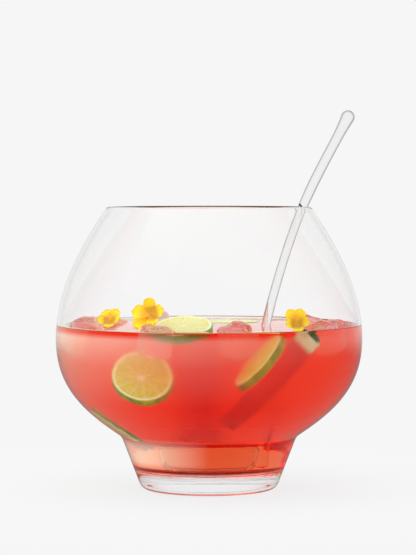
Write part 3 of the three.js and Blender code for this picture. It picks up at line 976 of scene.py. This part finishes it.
class MakeViolas(bpy.types.Operator):
    """Grows the three viola flowers, five petals each"""

    bl_idname = "punch_bowl.make_violas"
    bl_label = "Violas"

    def execute(self, context):
        flower = context.scene.flower_settings
        skins = [viola_petal(flower, "velvety_yellow_petal", False),
                 viola_petal(flower, "velvety_whiskered_petal", True), viola_green(flower)]
        rolls = {"viola_left": flower.roll_left, "viola_middle": flower.roll_middle,
                 "viola_right": flower.roll_right}
        for node, roll in rolls.items():
            middle, (normal, _, _), corners = node_frame(node)
            reach = corners @ np.array(normal)
            if reach.max() > -reach.min():
                normal = -normal
            across = corners - np.outer(reach, np.array(normal))
            size = float(np.linalg.norm(across, axis=1).max())
            mesh = bmesh.new()
            uv = mesh.loops.layers.uv.new("petal")
            for turn, long, wide, *rest in PETALS:
                petal(mesh, uv, math.radians(turn), long * size, wide * size, *rest)
            for vert in mesh.verts:
                vert.co.y -= 0.28 * size
            stem = tube([Vector((0, 0, -6 * MM + 0.7 * MM * k)) for k in range(10)],
                        [(0.8 + 0.16 * k) * MM for k in range(10)], 14)
            stem_data = bpy.data.meshes.new("stem")
            stem.to_mesh(stem_data)
            stem.free()
            petal_faces = len(mesh.faces)
            mesh.from_mesh(stem_data)
            mesh.faces.ensure_lookup_table()
            for face in mesh.faces[petal_faces:]:
                face.material_index = 2
            place = standing(middle, normal, Vector((0, 0, 1))) @ Matrix.Rotation(roll, 4, "Z")
            piece(f"open_{node}", mesh, skins, "filling", node, place)
        return {"FINISHED"}


# ---- stage


class MakeStage(bpy.types.Operator):
    """Lays the pale floor, sets the soft light and places the camera"""

    bl_idname = "punch_bowl.make_stage"
    bl_label = "Floor, light and camera"

    def execute(self, context):
        scene, stage = context.scene, context.scene.stage_settings
        self.make_floor(scene, stage)
        self.make_light(scene, stage)
        self.make_camera(scene, stage)
        scene.view_settings.view_transform = "Standard"
        scene.cycles.max_bounces = scene.cycles.transmission_bounces = 32
        scene.cycles.diffuse_bounces = 4
        scene.cycles.glossy_bounces = 16
        scene.cycles.transparent_max_bounces = 16
        return {"FINISHED"}

    def make_floor(self, scene, stage):
        """A seamless paper floor: as pale as the backdrop, with only a trace of shadow."""
        material, add = emptied(bpy.data.materials.new("lit_matt_paper"))
        glow = add("Emission", {"Color": stage.pale, "Strength": 1.0})
        paper = add("BsdfDiffuse", {"Color": (0.8, 0.8, 0.8, 1.0)})
        place = add("TexCoord").outputs["Object"]
        away = add("VectorMath", {0: place}, operation="LENGTH")
        near = add("MapRange", {
            "Value": away, "From Min": 0.1, "From Max": 0.5, "To Min": 0.12, "To Max": 0.0},
            interpolation_type="SMOOTHSTEP")
        both = add("MixShader", {0: near, 1: glow, 2: paper})
        finished(material, both)
        mesh = bmesh.new()
        bmesh.ops.create_circle(mesh, cap_ends=True, radius=30.0, segments=96)
        floor = as_object("paper_floor", mesh, [material])
        floor.location.z = -0.2 * MM
        floor.visible_glossy = False

    def make_light(self, scene, stage):
        """A pale room, brighter overhead, and one large soft light to the upper left."""
        scene.world, add = emptied(bpy.data.worlds.new("pale_studio"))
        direction = add("TexCoord").outputs["Generated"]
        height = add("SeparateXYZ", {"Vector": direction}).outputs["Z"]
        strength = add("MapRange", {
            "Value": height, "From Min": 0.7, "From Max": 0.95, "To Min": 1.0,
            "To Max": stage.zenith}, interpolation_type="SMOOTHSTEP")
        # The glass mirrors a darker floor than the one seen, so its undersides stay clear.
        below = add("MapRange", {
            "Value": height, "From Min": -0.12, "From Max": -0.02, "To Min": stage.mirrored,
            "To Max": 1.0}, interpolation_type="SMOOTHSTEP")
        level = add("Math", {0: strength, 1: below}, operation="MULTIPLY")
        glow = add("Background", {"Color": stage.pale, "Strength": level})
        finished(scene.world, glow, "OutputWorld")
        lamp = bpy.data.lights.new("soft_box", "AREA")
        lamp.shape, lamp.size, lamp.size_y, lamp.energy = "RECTANGLE", 1.6, 1.6, 12.0
        box = bpy.data.objects.new("soft_box", lamp)
        box.visible_glossy = False
        box.location = (-1.5, -0.9, 1.9)
        towards = Vector((0, 0, 0.15)) - box.location
        box.rotation_euler = towards.to_track_quat("-Z", "Y").to_euler()
        scene.collection.objects.link(box)

    def make_camera(self, scene, stage):
        """The camera, looking slightly down on the drink's surface."""
        data = bpy.data.cameras.new("camera")
        data.lens, data.sensor_width = stage.focal, 36.0
        data.clip_start, data.clip_end = 0.1, 100.0
        camera = bpy.data.objects.new("camera", data)
        camera.location = (-stage.eye_side, -stage.eye_distance, stage.eye_height)
        aim = Vector((-stage.eye_side, 0, stage.aim_height)) - camera.location
        camera.rotation_euler = aim.to_track_quat("-Z", "Y").to_euler()
        scene.collection.objects.link(camera)
        scene.camera = camera


# ---- the sidebar, and the run

MAKERS = (MakeBowl, MakeLadle, MakePunch, MakeIce, MakeLimes, MakeMelon, MakeViolas, MakeStage)
SETTINGS = {
    "bowl_settings": BowlSettings, "ladle_settings": LadleSettings,
    "drink_settings": DrinkSettings, "fruit_settings": FruitSettings,
    "flower_settings": FlowerSettings, "stage_settings": StageSettings,
}


class PunchBowlPanel(bpy.types.Panel):
    """Sizes, colours and the makers of each piece"""

    bl_idname = "VIEW3D_PT_punch_bowl"
    bl_label = "Punch Bowl"
    bl_space_type = "VIEW_3D"
    bl_region_type = "UI"
    bl_category = "Punch Bowl"

    def draw(self, context):
        for maker in MAKERS:
            self.layout.operator(maker.bl_idname)
        for name in SETTINGS:
            box = self.layout.box()
            settings = getattr(context.scene, name)
            for field in settings.__annotations__:
                box.prop(settings, field)


CLASSES = (*SETTINGS.values(), *MAKERS, PunchBowlPanel)


def register():
    for each in CLASSES:
        bpy.utils.register_class(each)
    for name, group in SETTINGS.items():
        setattr(bpy.types.Scene, name, PointerProperty(type=group))


def unregister():
    for name in SETTINGS:
        delattr(bpy.types.Scene, name)
    for each in reversed(CLASSES):
        bpy.utils.unregister_class(each)


def main():
    """Makes every piece."""
    register()
    bpy.ops.punch_bowl.make_stage()
    bpy.ops.punch_bowl.make_bowl()
    bpy.ops.punch_bowl.make_ladle()
    bpy.ops.punch_bowl.make_punch()
    bpy.ops.punch_bowl.make_ice()
    bpy.ops.punch_bowl.make_limes()
    bpy.ops.punch_bowl.make_melon()
    bpy.ops.punch_bowl.make_violas()


if __name__ == "__main__":
    main()
